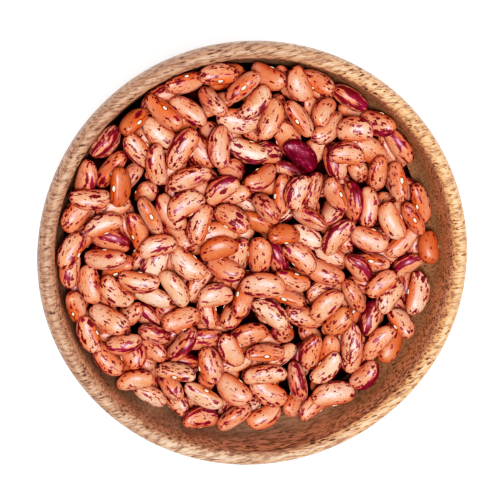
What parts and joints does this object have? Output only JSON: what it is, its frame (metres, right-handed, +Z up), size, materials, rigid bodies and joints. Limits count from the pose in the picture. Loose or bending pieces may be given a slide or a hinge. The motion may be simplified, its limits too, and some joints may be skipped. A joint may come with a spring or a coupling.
{
  "type": "bowl of dried beans",
  "caption": "Round turned wooden bowl with a flat foot and a rounded rim, filled below its rim with a loose, uneven heap of dried kidney-shaped speckled beans.",
  "frame": {"origin": "centre of the bowl's flat foot, on the surface it stands on", "axes": "+Z up through the middle of the bowl; the heap of beans is lowest towards +X -Y"},
  "size_m": [0.15, 0.15, 0.058],
  "materials": {
    "bowl": "oiled, open-pored, satin",
    "beans": null
  },
  "bodies": {
    "root": {"bowl": "bowl", "beans": "beans"}
  },
  "joints": []
}
